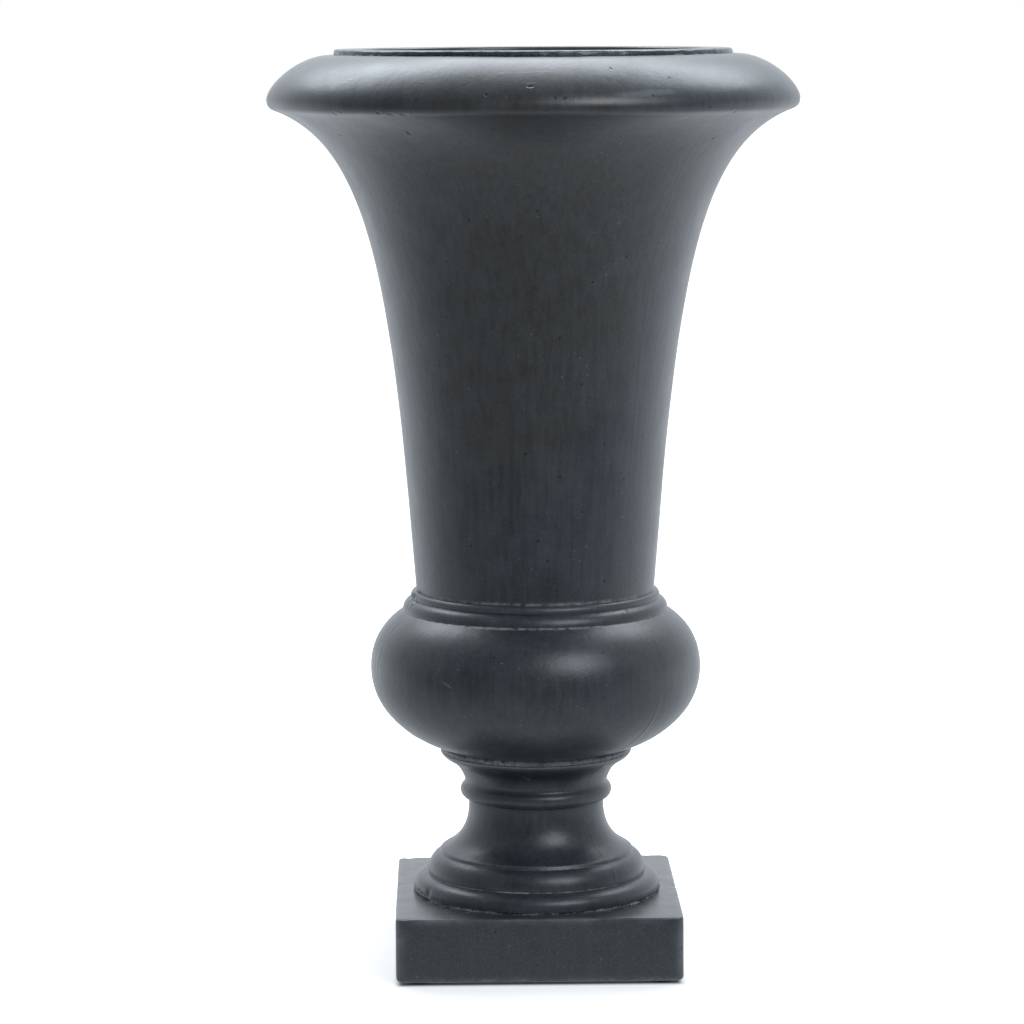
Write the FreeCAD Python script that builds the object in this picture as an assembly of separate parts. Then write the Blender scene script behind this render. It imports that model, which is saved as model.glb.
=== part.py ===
# Urn planter: a bell-shaped urn with a rolled rim on a turned foot and a square plinth.
# Body, foot and plinth are separate castings, bedded in mortar and clamped by a central tie rod.
# A drop-in liner hangs in the mouth, and a rubber bung closes the drain hole in the body's floor.
# Millimetres, +Z up, front towards -Y. The origin is the centre of the base, on the floor.
import FreeCAD, Part
import math
import os

os.makedirs("parts", exist_ok=True)

# ---- pads under the plinth
PAD_RADIUS = 11.0
PAD_THICKNESS = 2.5
PAD_EDGE_MARGIN = 7.0          # from the pad's rim to the plinth's side

# ---- plinth: a square cast block, open underneath
PLINTH_SIDE = 236.0
PLINTH_HEIGHT = 53.0
PLINTH_WALL = 20.0
PLINTH_SLAB = 22.0             # top slab, between the foot and the hollow
PLINTH_CORNER_ROUND = 8.0
PLINTH_TOP_ROUND = 2.5
PLINTH_BOTTOM_ROUND = 3.0
HOLLOW_CORNER_ROUND = 25.0
HOLLOW_TOP_ROUND = 6.0
WEEP_RADIUS = 6.0              # water leaves through these, beside the tie rod

# ---- mortar between the castings
BED_THICKNESS = 1.5
BED_SETBACK = 1.2              # the joint is raked back from the visible edge

# ---- foot: its mouldings from the bottom up, each with its height
BASE_RING_RADIUS = 103.6
BASE_RING_BAND = 3.0           # upright edge below the ring's round
BASE_RING_HEIGHT = 13.7
OVOLO_FOOT_RADIUS = 91.1
OVOLO_TOP_RADIUS = 81.7
OVOLO_HEIGHT = 17.1
OVOLO_SWELL = 3.1
LISTEL_HEIGHT = 2.4            # narrow flat band between ovolo and scotia
LISTEL_BATTER = 1.0
SCOTIA_TOP_RADIUS = 56.8
SCOTIA_HEIGHT = 43.2
SCOTIA_FOOT_LEAN = -29.0       # leans are in degrees from upright, positive outwards
SCOTIA_TOP_LEAN = 3.0
SCOTIA_FULLNESS = (0.082, 0.81)   # how far a curve keeps to its two leans, as shares of its height
KNOP_RADIUS = 63.6
KNOP_HEIGHT = 14.5
NECK_RADIUS = 59.0
COLLAR_RADIUS = 80.6
COLLAR_HEIGHT = 26.6
COLLAR_FOOT_LEAN = 17.5
COLLAR_TOP_LEAN = 22.5
COLLAR_FULLNESS = (0.87, 0.4)
FOOT_CORE_RADIUS = 36.0        # cored from top to bottom, for the rod and the drain
FOOT_CORE_DRAFT = 1.5          # the core is this much wider at the bottom

# ---- body: its mouldings from the bottom up, each with its height
BULGE_FOOT_RADIUS = 71.5
BULGE_RADIUS = 138.2
BULGE_LOWER_HEIGHT = 70.0
BULGE_TOP_RADIUS = 110.8
BULGE_UPPER_HEIGHT = 48.2
BULGE_FOOT_LEAN = 74.0
BULGE_LOWER_FULLNESS = (0.61, 0.473)
BULGE_TOP_LEAN = -57.7
BULGE_UPPER_FULLNESS = (0.366, 0.505)
TORUS_TOP_RADIUS = 103.8
TORUS_HEIGHT = 10.5
TORUS_SWELL = 2.2
BEAD_HEIGHT = 6.4
BEAD_SWELL = 2.2
BELL_FOOT_RADIUS = 99.5
BELL_WAIST_RADIUS = 126.7      # where the straight part turns into the flare
BELL_STRAIGHT_HEIGHT = 249.5
BELL_FOOT_LEAN = 4.8
BELL_WAIST_LEAN = 10.9
BELL_STRAIGHT_FULLNESS = (0.325, 0.325)
BELL_TOP_RADIUS = 209.3
BELL_FLARE_HEIGHT = 148.3
BELL_TOP_LEAN = 66.0
BELL_FLARE_FULLNESS = (0.638, 0.288)
RIM_RADIUS = 219.7
RIM_LOWER_HEIGHT = 9.6
RIM_UNDER_LEAN = 69.0
RIM_LOWER_FULLNESS = (0.57, 0.72)
RIM_UPPER_HEIGHT = 37.0
RIM_UPPER_FULLNESS = (0.345, 0.67)
SEAT_RADIUS = 168.0            # outer edge of the flat on which the liner's lip stands
MOUTH_RADIUS = 146.0
MOUTH_CHAMFER = 3.0
BODY_WALL = 13.0
BODY_FLOOR = 26.0
CAVITY_FLOOR_RADIUS = 74.0
CAVITY_FLOOR_CHAMFER = 12.0
MOUTH_DEPTH = 65.0             # straight part of the mouth, below the seat
SPIGOT_HEIGHT = 8.0            # centres the body in the foot's core
SPIGOT_CLEARANCE = 1.5
DRAIN_RADIUS = 6.5
DRAIN_OFFSET = 26.0            # from the tie rod's axis to the drain and weep holes

# ---- liner: a moulded plastic pot with a rolled lip
LINER_LIP_RADIUS = 164.0
LINER_LIP_HEIGHT = 4.5
LINER_LIP_ROUND = 2.0
LINER_WALL = 2.5
LINER_CLEARANCE = 2.8          # between its wall and the mouth
LINER_BAND = 60.0              # straight part at the top, which takes a grower's pot
LINER_DEPTH = 245.0
LINER_BOTTOM_RADIUS = 96.0
LINER_BOTTOM_CHAMFER = 8.0
LINER_DRAIN_RADIUS = 5.0
LINER_DRAIN_CIRCLE = 60.0
LINER_DRAIN_COUNT = 6

# ---- tie rod and its hardware, M12
ROD_RADIUS = 6.0
ROD_HOLE_CLEARANCE = 1.0
THREAD_CLEARANCE = 0.1
ROD_PROUD = 3.5                # stands past each nut
NUT_FLATS = 18.0
NUT_HEIGHT = 10.8
WASHER_CLEARANCE = 0.5
WASHER_THICKNESS = 2.5
UPPER_WASHER_RADIUS = 12.0
LOWER_WASHER_RADIUS = 18.0
SEAL_RADIUS = 14.0
SEAL_THICKNESS = 3.0

# ---- drain bung
BUNG_HEAD_RADIUS = 10.0
BUNG_HEAD_EDGE = 1.5
BUNG_HEAD_HEIGHT = 4.0
BUNG_STEM_LENGTH = 16.0
BUNG_STEM_TAPER = 1.0
BUNG_CLEARANCE = 0.3
BUNG_KNOB_RADIUS = 4.5
BUNG_KNOB_HEIGHT = 9.0
BUNG_KNOB_CHAMFER = 1.2
BUNG_NECK_RADIUS = 3.0

# ---- levels, from the floor up
plinth_bottom = PAD_THICKNESS
plinth_top = plinth_bottom + PLINTH_HEIGHT
hollow_top = plinth_top - PLINTH_SLAB
foot_bottom = plinth_top + BED_THICKNESS
ovolo_bottom = foot_bottom + BASE_RING_HEIGHT
listel_bottom = ovolo_bottom + OVOLO_HEIGHT
scotia_bottom = listel_bottom + LISTEL_HEIGHT
knop_bottom = scotia_bottom + SCOTIA_HEIGHT
collar_bottom = knop_bottom + KNOP_HEIGHT
foot_top = collar_bottom + COLLAR_HEIGHT
body_bottom = foot_top + BED_THICKNESS
body_floor = body_bottom + BODY_FLOOR
bulge_middle = body_bottom + BULGE_LOWER_HEIGHT
torus_bottom = bulge_middle + BULGE_UPPER_HEIGHT
bead_bottom = torus_bottom + TORUS_HEIGHT
bell_bottom = bead_bottom + BEAD_HEIGHT
bell_waist = bell_bottom + BELL_STRAIGHT_HEIGHT
bell_top = bell_waist + BELL_FLARE_HEIGHT
rim_middle = bell_top + RIM_LOWER_HEIGHT
seat = rim_middle + RIM_UPPER_HEIGHT

rod_hole_radius = ROD_RADIUS + ROD_HOLE_CLEARANCE


class HalfSection:
    """Half of a turned piece's section, drawn as (radius, height) points and turned about Z."""

    def __init__(self, radius, height):
        self.start = FreeCAD.Vector(radius, 0, height)
        self.end = self.start
        self.edges = []

    def line(self, radius, height):
        target = FreeCAD.Vector(radius, 0, height)
        self.edges.append(Part.LineSegment(self.end, target).toShape())
        self.end = target

    def swell(self, radius, height, rise):
        """Arc to the point, standing out to the left of the chord by rise."""
        target = FreeCAD.Vector(radius, 0, height)
        chord = target - self.end
        side = FreeCAD.Vector(-chord.z, 0, chord.x).normalize()
        middle = (self.end + target) * 0.5 + side * rise
        self.edges.append(Part.Arc(self.end, middle, target).toShape())
        self.end = target

    def round(self, radius, height, corner_radius, corner_height):
        """Quarter ellipse to the point, tangent to the two sides that meet in the given corner."""
        kappa = 4.0 / 3.0 * (math.sqrt(2.0) - 1.0)
        corner = FreeCAD.Vector(corner_radius, 0, corner_height)
        target = FreeCAD.Vector(radius, 0, height)
        first = self.end + (corner - self.end) * kappa
        second = target + (corner - target) * kappa
        self.poles(first, second, target)

    def curve(self, radius, height, lean, end_lean, fullness):
        """Smooth curve up to the point, between the two leans."""
        target = FreeCAD.Vector(radius, 0, height)
        rise = height - self.end.z
        first = self.end + heading(lean) * (fullness[0] * rise)
        second = target - heading(end_lean) * (fullness[1] * rise)
        self.poles(first, second, target)

    def poles(self, first, second, target):
        bezier = Part.BezierCurve()
        bezier.setPoles([self.end, first, second, target])
        self.edges.append(bezier.toShape())
        self.end = target

    def turned(self):
        self.line(self.start.x, self.start.z)
        face = Part.Face(Part.Wire(self.edges))
        return face.revolve(FreeCAD.Vector(0, 0, 0), FreeCAD.Vector(0, 0, 1), 360)


def heading(lean):
    return FreeCAD.Vector(math.sin(math.radians(lean)), 0, math.cos(math.radians(lean)))


def disc(radius, bottom, top, x=0.0, y=0.0):
    return Part.makeCylinder(radius, top - bottom, FreeCAD.Vector(x, y, bottom))


def ring(outer, inner, bottom, top):
    return disc(outer, bottom, top).cut(disc(inner, bottom, top))


def export(node, solid):
    solid = solid.removeSplitter()
    assert solid.isValid() and len(solid.Solids) == 1, node
    solid.Solids[0].exportStep("parts/" + node + ".step")


def upright_edges(solid, height):
    """The edges that run straight up over the whole given height."""
    return [edge for edge in solid.Edges
            if abs(edge.BoundBox.ZLength - height) < 1e-6
            and edge.BoundBox.XLength < 1e-6 and edge.BoundBox.YLength < 1e-6]


def edges_at(solid, level):
    """The edges that lie flat at the given level."""
    return [edge for edge in solid.Edges
            if abs(edge.BoundBox.ZMin - level) < 1e-6 and abs(edge.BoundBox.ZMax - level) < 1e-6]


def square_block(side, bottom, top):
    corner = FreeCAD.Vector(-side / 2, -side / 2, bottom)
    return Part.makeBox(side, side, top - bottom, corner)


def plinth():
    block = square_block(PLINTH_SIDE, plinth_bottom, plinth_top)
    block = block.makeFillet(PLINTH_CORNER_ROUND, upright_edges(block, PLINTH_HEIGHT))
    block = block.makeFillet(PLINTH_TOP_ROUND, edges_at(block, plinth_top))
    block = block.makeFillet(PLINTH_BOTTOM_ROUND, edges_at(block, plinth_bottom))
    hollow = square_block(PLINTH_SIDE - 2 * PLINTH_WALL, plinth_bottom, hollow_top)
    hollow = hollow.makeFillet(HOLLOW_CORNER_ROUND, upright_edges(hollow, hollow_top - plinth_bottom))
    hollow = hollow.makeFillet(HOLLOW_TOP_ROUND, edges_at(hollow, hollow_top))
    holes = disc(rod_hole_radius, hollow_top, plinth_top)
    for side in (-1, 1):
        weep = disc(WEEP_RADIUS, hollow_top, plinth_top, x=side * DRAIN_OFFSET)
        holes = holes.fuse(weep)
    return block.cut(hollow).cut(holes)


def pads():
    """The four pads with the names of their corners."""
    reach = PLINTH_SIDE / 2 - PAD_EDGE_MARGIN - PAD_RADIUS
    for end, y in (("front", -reach), ("back", reach)):
        for side, x in (("left", -reach), ("right", reach)):
            yield end + "_" + side + "_pad", disc(PAD_RADIUS, 0, PAD_THICKNESS, x, y)


def pedestal_foot():
    section = HalfSection(FOOT_CORE_RADIUS + FOOT_CORE_DRAFT, foot_bottom)
    section.line(BASE_RING_RADIUS, foot_bottom)
    section.line(BASE_RING_RADIUS, foot_bottom + BASE_RING_BAND)
    section.round(OVOLO_FOOT_RADIUS, ovolo_bottom, BASE_RING_RADIUS, ovolo_bottom)
    section.swell(OVOLO_TOP_RADIUS, listel_bottom, -OVOLO_SWELL)
    section.line(OVOLO_TOP_RADIUS - LISTEL_BATTER, scotia_bottom)
    section.curve(SCOTIA_TOP_RADIUS, knop_bottom, SCOTIA_FOOT_LEAN, SCOTIA_TOP_LEAN, SCOTIA_FULLNESS)
    knop_swell = KNOP_RADIUS - (SCOTIA_TOP_RADIUS + NECK_RADIUS) / 2
    section.swell(NECK_RADIUS, collar_bottom, -knop_swell)
    section.curve(COLLAR_RADIUS, foot_top, COLLAR_FOOT_LEAN, COLLAR_TOP_LEAN, COLLAR_FULLNESS)
    section.line(FOOT_CORE_RADIUS, foot_top)
    return section.turned()


def urn_body():
    spigot_radius = FOOT_CORE_RADIUS - SPIGOT_CLEARANCE
    section = HalfSection(rod_hole_radius, body_bottom - SPIGOT_HEIGHT)
    section.line(spigot_radius, body_bottom - SPIGOT_HEIGHT)
    section.line(spigot_radius, body_bottom)
    section.line(BULGE_FOOT_RADIUS, body_bottom)
    # bulge
    section.curve(BULGE_RADIUS, bulge_middle, BULGE_FOOT_LEAN, 0, BULGE_LOWER_FULLNESS)
    section.curve(BULGE_TOP_RADIUS, torus_bottom, 0, BULGE_TOP_LEAN, BULGE_UPPER_FULLNESS)
    # necking: torus and bead
    section.swell(TORUS_TOP_RADIUS, bead_bottom, -TORUS_SWELL)
    section.swell(BELL_FOOT_RADIUS, bell_bottom, -BEAD_SWELL)
    # bell
    section.curve(BELL_WAIST_RADIUS, bell_waist, BELL_FOOT_LEAN, BELL_WAIST_LEAN, BELL_STRAIGHT_FULLNESS)
    section.curve(BELL_TOP_RADIUS, bell_top, BELL_WAIST_LEAN, BELL_TOP_LEAN, BELL_FLARE_FULLNESS)
    # rolled rim, and the flat seat on top of it
    section.curve(RIM_RADIUS, rim_middle, RIM_UNDER_LEAN, 0, RIM_LOWER_FULLNESS)
    section.curve(SEAT_RADIUS, seat, 0, -90, RIM_UPPER_FULLNESS)
    section.line(MOUTH_RADIUS + MOUTH_CHAMFER, seat)
    section.line(MOUTH_RADIUS, seat - MOUTH_CHAMFER)
    # cavity, as a tapered plug leaves it, down to its floor
    section.line(MOUTH_RADIUS, seat - MOUTH_DEPTH)
    section.line(BELL_WAIST_RADIUS - BODY_WALL, bell_waist)
    section.line(BELL_FOOT_RADIUS - BODY_WALL, bell_bottom)
    section.line(CAVITY_FLOOR_RADIUS, body_floor + CAVITY_FLOOR_CHAMFER)
    section.line(CAVITY_FLOOR_RADIUS - CAVITY_FLOOR_CHAMFER, body_floor)
    section.line(rod_hole_radius, body_floor)
    drain = disc(DRAIN_RADIUS, body_bottom - SPIGOT_HEIGHT, body_floor, x=DRAIN_OFFSET)
    return section.turned().cut(drain)


def joint_bed(outer_edge, core_radius, bottom):
    return ring(outer_edge - BED_SETBACK, core_radius + BED_SETBACK, bottom, bottom + BED_THICKNESS)


def planting_liner():
    wall_radius = MOUTH_RADIUS - LINER_CLEARANCE
    skirt_top = seat + LINER_LIP_HEIGHT - LINER_WALL
    lip_top = seat + LINER_LIP_HEIGHT
    bottom = seat - LINER_DEPTH
    inside_bottom = bottom + LINER_WALL
    inner_lip_radius = wall_radius - LINER_WALL
    inner_bottom_radius = LINER_BOTTOM_RADIUS - LINER_WALL
    inner_chamfer = LINER_BOTTOM_CHAMFER - LINER_WALL / 2
    band_bottom = lip_top - LINER_BAND
    section = HalfSection(0, bottom)
    section.line(LINER_BOTTOM_RADIUS - LINER_BOTTOM_CHAMFER, bottom)
    section.line(LINER_BOTTOM_RADIUS, bottom + LINER_BOTTOM_CHAMFER)
    section.line(wall_radius, band_bottom)
    section.line(wall_radius, skirt_top)
    # lip, turned down at its edge to stand on the seat
    section.line(LINER_LIP_RADIUS - LINER_WALL, skirt_top)
    section.line(LINER_LIP_RADIUS - LINER_WALL, seat)
    section.line(LINER_LIP_RADIUS, seat)
    section.line(LINER_LIP_RADIUS, lip_top - LINER_LIP_ROUND)
    section.round(LINER_LIP_RADIUS - LINER_LIP_ROUND, lip_top, LINER_LIP_RADIUS, lip_top)
    section.line(inner_lip_radius + LINER_LIP_ROUND, lip_top)
    section.round(inner_lip_radius, lip_top - LINER_LIP_ROUND, inner_lip_radius, lip_top)
    # inside
    section.line(inner_lip_radius, band_bottom)
    section.line(inner_bottom_radius, inside_bottom + inner_chamfer)
    section.line(inner_bottom_radius - inner_chamfer, inside_bottom)
    section.line(0, inside_bottom)
    liner = section.turned()
    liner = liner.cut(disc(LINER_DRAIN_RADIUS, bottom, inside_bottom))
    for step in range(LINER_DRAIN_COUNT):
        angle = 2 * math.pi * step / LINER_DRAIN_COUNT
        x = LINER_DRAIN_CIRCLE * math.cos(angle)
        y = LINER_DRAIN_CIRCLE * math.sin(angle)
        liner = liner.cut(disc(LINER_DRAIN_RADIUS, bottom, inside_bottom, x, y))
    return liner


def hex_nut(bottom):
    """M12 nut with its corners turned off above and below."""
    corner = NUT_FLATS / math.sqrt(3)
    points = [FreeCAD.Vector(corner * math.cos(math.radians(60 * i)),
                             corner * math.sin(math.radians(60 * i)), bottom) for i in range(7)]
    prism = Part.Face(Part.makePolygon(points)).extrude(FreeCAD.Vector(0, 0, NUT_HEIGHT))
    drop = (corner - NUT_FLATS / 2) * math.tan(math.radians(30))
    turning = HalfSection(ROD_RADIUS + THREAD_CLEARANCE, bottom)
    turning.line(NUT_FLATS / 2, bottom)
    turning.line(corner, bottom + drop)
    turning.line(corner, bottom + NUT_HEIGHT - drop)
    turning.line(NUT_FLATS / 2, bottom + NUT_HEIGHT)
    turning.line(ROD_RADIUS + THREAD_CLEARANCE, bottom + NUT_HEIGHT)
    return prism.common(turning.turned())


def drain_bung():
    top_radius = DRAIN_RADIUS - BUNG_CLEARANCE
    head_top = body_floor + BUNG_HEAD_HEIGHT
    knob_middle = head_top + BUNG_KNOB_HEIGHT / 2
    knob_top = head_top + BUNG_KNOB_HEIGHT
    section = HalfSection(0, body_floor - BUNG_STEM_LENGTH)
    section.line(top_radius - BUNG_STEM_TAPER, body_floor - BUNG_STEM_LENGTH)
    section.line(top_radius, body_floor)
    section.line(BUNG_HEAD_RADIUS, body_floor)
    section.line(BUNG_HEAD_RADIUS, body_floor + BUNG_HEAD_EDGE)
    section.line(BUNG_NECK_RADIUS, head_top)
    section.line(BUNG_NECK_RADIUS, knob_middle)
    section.line(BUNG_KNOB_RADIUS, knob_middle)
    section.line(BUNG_KNOB_RADIUS, knob_top - BUNG_KNOB_CHAMFER)
    section.line(BUNG_KNOB_RADIUS - BUNG_KNOB_CHAMFER, knob_top)
    section.line(0, knob_top)
    bung = section.turned()
    bung.translate(FreeCAD.Vector(DRAIN_OFFSET, 0, 0))
    return bung


export("plinth", plinth())
for name, pad in pads():
    export(name, pad)
export("plinth_joint_bed", joint_bed(BASE_RING_RADIUS, FOOT_CORE_RADIUS + FOOT_CORE_DRAFT, plinth_top))
export("pedestal_foot", pedestal_foot())
export("foot_joint_bed", joint_bed(BULGE_FOOT_RADIUS, FOOT_CORE_RADIUS, foot_top))
export("urn_body", urn_body())
export("planting_liner", planting_liner())
export("drain_bung", drain_bung())

# hardware, clamped down on the body's floor and up against the plinth's slab
seal_top = body_floor + SEAL_THICKNESS
upper_washer_top = seal_top + WASHER_THICKNESS
lower_washer_bottom = hollow_top - WASHER_THICKNESS
lower_nut_bottom = lower_washer_bottom - NUT_HEIGHT
rod_bottom = lower_nut_bottom - ROD_PROUD
rod_top = upper_washer_top + NUT_HEIGHT + ROD_PROUD
washer_bore = ROD_RADIUS + WASHER_CLEARANCE
export("seal_washer", ring(SEAL_RADIUS, washer_bore, body_floor, seal_top))
export("upper_washer", ring(UPPER_WASHER_RADIUS, washer_bore, seal_top, upper_washer_top))
export("upper_nut", hex_nut(upper_washer_top))
export("lower_washer", ring(LOWER_WASHER_RADIUS, washer_bore, lower_washer_bottom, hollow_top))
export("lower_nut", hex_nut(lower_nut_bottom))
export("tie_rod", disc(ROD_RADIUS, rod_bottom, rod_top))
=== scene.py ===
import bmesh
import bpy
import numpy as np
from mathutils import Matrix, Vector


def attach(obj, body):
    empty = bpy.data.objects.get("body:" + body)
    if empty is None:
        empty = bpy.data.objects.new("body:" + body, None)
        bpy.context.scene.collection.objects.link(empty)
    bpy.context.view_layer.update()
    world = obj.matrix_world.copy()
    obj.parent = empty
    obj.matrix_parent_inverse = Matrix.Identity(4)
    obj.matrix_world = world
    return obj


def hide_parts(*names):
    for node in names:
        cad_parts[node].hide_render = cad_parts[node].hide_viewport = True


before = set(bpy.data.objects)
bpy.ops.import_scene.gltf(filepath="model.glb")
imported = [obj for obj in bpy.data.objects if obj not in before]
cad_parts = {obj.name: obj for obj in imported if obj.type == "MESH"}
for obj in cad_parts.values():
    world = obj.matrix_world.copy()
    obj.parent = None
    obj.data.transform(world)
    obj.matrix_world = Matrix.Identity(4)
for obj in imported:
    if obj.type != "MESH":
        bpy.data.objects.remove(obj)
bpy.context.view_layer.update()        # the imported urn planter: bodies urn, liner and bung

print("frame loaded,", len(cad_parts), "nodes")


def perMetre(millimetres):
    return 1000.0 / millimetres        # pattern scale for a feature of that size

def linear(code):
    # sRGB to linear light, opaque: ((c + 0.055) / 1.055) ** 2.4, or c / 12.92 near black
    parts = np.array([int(code[i:i + 2], 16) for i in (1, 3, 5)]) / 255
    parts = np.where(parts > 0.04045, ((parts + 0.055) / 1.055) ** 2.4, parts / 12.92)
    return (*parts.tolist(), 1.0)

def addNode(tree, kind, settings=None, inputs=None):
    # one node; an input is a plain value, or (node, output) for a link
    node = tree.nodes.new(kind)
    for key, value in (settings or {}).items():
        setattr(node, key, value)
    for key, value in (inputs or {}).items():
        if isinstance(value, tuple) and isinstance(value[0], bpy.types.Node):
            tree.links.new(value[0].outputs[value[1]], node.inputs[key])
        else:
            node.inputs[key].default_value = value
    return node

def newMaterial(name):
    material = bpy.data.materials.new(name)
    material.use_nodes = True
    material.node_tree.nodes.clear()
    return material, material.node_tree

def lumps(points, size, seed):
    # smooth random field from -1 to 1: random values on a lattice, blended by 3t^2 - 2t^3 along each axis
    table = np.random.default_rng(seed).uniform(-1, 1, 4096)
    cell = np.floor(points / size).astype(np.int64)
    part = points / size - cell
    part = part * part * (3 - 2 * part)
    total = np.zeros(points.shape[:-1])
    for corner in np.ndindex(2, 2, 2):
        at = cell + np.array(corner)
        key = (at[..., 0] * 73856093) ^ (at[..., 1] * 19349663) ^ (at[..., 2] * 83492791)
        total += table[key & 4095] * np.where(np.array(corner, bool), part, 1 - part).prod(axis=-1)
    return total

def bump(distance, width):
    # 1 at no distance, 0.37 at the width and near 0 at twice the width
    return np.exp(-(distance / width) ** 2)

def turnFrom(angles, azimuth):
    # angle in radians from an azimuth in degrees, where 0 is the front, at -Y, and positive is to the right
    return (angles - np.radians(azimuth - 90) + np.pi) % (2 * np.pi) - np.pi


# Outlines are half sections, (radius, height) in mm, counterclockwise.

def drawOutline(start, moves):
    # a row of points every 0.2 mm along lines, arcs and curves, each given by its kind and its far end
    spacing, quarter = 0.2, 0.5523             # mm, and the share of a handle that draws a quarter circle
    here = np.array(start, float)
    spans = [here[None]]
    for kind, radius, height, *shape in moves:
        there = np.array((radius, height), float)
        chord = there - here
        length = np.hypot(*chord)
        t = np.linspace(0, 1, max(int(length / spacing), 8))[1:, None]
        if kind == "line":
            spans.append(here + chord * t)
        elif kind == "swell":
            # arc through both ends that stands out by the given rise, to the right of the way
            side = np.array((chord[1], -chord[0])) / length
            half = 2 * np.arctan(2 * shape[0] / length)
            reach = length / 2 / np.sin(half)
            centre = (here + there) / 2 - side * reach * np.cos(half)
            angle = half * (2 * t - 1)
            spans.append(centre + reach * (side * np.cos(angle) + chord / length * np.sin(angle)))
        else:
            # cubic curve, weights (1-t)^3, 3t(1-t)^2, 3t^2(1-t), t^3 on its four points; a "curve" gives both
            # ends' lean from upright in degrees and their handles as shares of its rise, a "round" its corner
            if kind == "curve":
                lean, endLean = np.radians(shape[:2])
                first = here + chord[1] * shape[2] * np.array((np.sin(lean), np.cos(lean)))
                second = there - chord[1] * shape[3] * np.array((np.sin(endLean), np.cos(endLean)))
            else:
                corner = np.array(shape, float)
                first, second = here + (corner - here) * quarter, there + (corner - there) * quarter
            spans.append((1 - t) ** 3 * here + 3 * t * (1 - t) ** 2 * first
                         + 3 * t * t * (1 - t) * second + t ** 3 * there)
        here = there
    return np.vstack(spans)

def smoothed(line, reach, step):
    # running mean along a closed line, weighted by a raised cosine
    window = np.hanning(int(reach / step) | 1)
    pad = len(window)
    wrapped = np.vstack([line[-pad:], line, line[:pad]])
    window /= window.sum()
    return np.stack([np.convolve(wrapped[:, k], window, "same")[pad:-pad] for k in (0, 1)], axis=1)

def softenOutline(points, piece, hidden):
    # rounds every arris by a running mean over the piece's reach, and more at its softer places; keeps a row
    # per rowStep of length (four where hidden) and one per turnStep of turning, and gives each row's turning,
    # below 0 in a hollow and above 0 on an arris
    step = 0.1
    points = np.vstack([points, points[:1]])
    along = np.r_[0, np.cumsum(np.hypot(*np.diff(points, axis=0).T))]
    keep = np.r_[True, np.diff(along) > 1e-9]
    even = np.arange(0, along[-1], step)
    raw = np.stack([np.interp(even, along[keep], points[keep, k]) for k in (0, 1)], axis=1)
    line = smoothed(raw, piece["reach"], step)
    for radius, height, spread, reach in piece.get("softer", ()):
        weight = bump(np.hypot(raw[:, 0] - radius, raw[:, 1] - height), spread)[:, None]
        line += weight * (smoothed(raw, reach, step) - line)
    way = np.roll(line, -3, axis=0) - np.roll(line, 3, axis=0)
    turning = np.gradient(np.unwrap(np.arctan2(way[:, 1], way[:, 0])), step)
    turning[:4], turning[-4:] = turning[4], turning[-5]      # the angle jumps where the ends meet
    rowStep = np.where(hidden(line), 4 * piece["rowStep"], piece["rowStep"])
    density = 1 / rowStep + np.abs(turning) / piece["turnStep"]
    total = np.r_[0, np.cumsum((density[1:] + density[:-1]) / 2 * step)]
    count = int(total[-1])
    pick = np.interp(np.arange(count) * total[-1] / count, total, even)
    rows = np.stack([np.interp(pick, even, line[:, k]) for k in (0, 1)], axis=1)
    return rows, np.interp(pick, even, turning)

def anglesRound(count, seams=(), width=2.2, extra=4.0):
    # angles all the way round, (1 + extra) times as close within a width in degrees of each parting line
    fine = np.linspace(0, 2 * np.pi, 14401)
    density = np.ones(len(fine))
    if seams:
        density = 1 + sum(extra * bump(turnFrom(fine, seam), np.radians(width)) for seam in seams)
    total = np.r_[0, np.cumsum((density[1:] + density[:-1]) / 2)]
    return np.interp(np.arange(count) / count * total[-1], total, fine)

def turnedGrid(rows, angles):
    # point (r, z) of the outline at angle a lies at (r cos a, r sin a, z)
    r, z = rows[:, 0, None], rows[:, 1, None]
    return np.stack([r * np.cos(angles), r * np.sin(angles), z + 0 * angles], axis=-1)

def raised(grid, relief):
    # moves each point of a closed grid along its normal, the cross product of the two ways along the grid
    across = np.roll(grid, -1, axis=1) - np.roll(grid, 1, axis=1)
    up = np.roll(grid, -1, axis=0) - np.roll(grid, 1, axis=0)
    normal = np.cross(across, up)
    length = np.maximum(np.linalg.norm(normal, axis=-1, keepdims=True), 1e-12)
    return grid + normal / length * relief[..., None]

def moulded(grid, angles, radii, piece, seed):
    # relief of a cast and hand-rubbed face: waves of two sizes, and the parting lines' wandering, broken ridges
    # on a strip that is filed down a little; less is left of them on the bell
    broad, narrow, wander, breaks, strip = 85, 24, 40, 17, 9          # mm
    filed, bellFoot, leftOnBell = 0.12, 311, 0.3
    relief = piece["wave"] * lumps(grid, broad, seed) + 0.4 * piece["wave"] * lumps(grid, narrow, seed + 1)
    for seam in piece["seams"]:
        aside = 2.0 * lumps(grid * (0, 0, 1) + seam, wander, seed + 2)
        sideways = turnFrom(angles, seam) * radii[:, None] - aside
        left = np.where(grid[..., 2] > bellFoot, leftOnBell, 1.0)
        strength = np.clip(0.35 + 0.9 * lumps(grid, breaks, seed + 3), 0, 1) * left
        ridge = piece["seamHeight"] * bump(sideways, piece["seamWidth"]) * strength
        relief += ridge - filed * bump(sideways, strip)
    return relief

def inCreases(rows, turning, angles, creases):
    # most in a crease of the outline near each given height, fading round the urn from an azimuth
    width, sharp, least = 2.0, 0.3, 0.25        # mm, radians per mm, share left on the far side
    total = np.zeros((len(rows), len(angles)))
    for height, azimuth, spread, most in creases:
        row = np.clip(-turning / sharp, 0, 1) * bump(rows[:, 1] - height, width)
        fade = least + (1 - least) * bump(turnFrom(angles, azimuth), np.radians(spread))
        total += most * row[:, None] * fade
    return total

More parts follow.
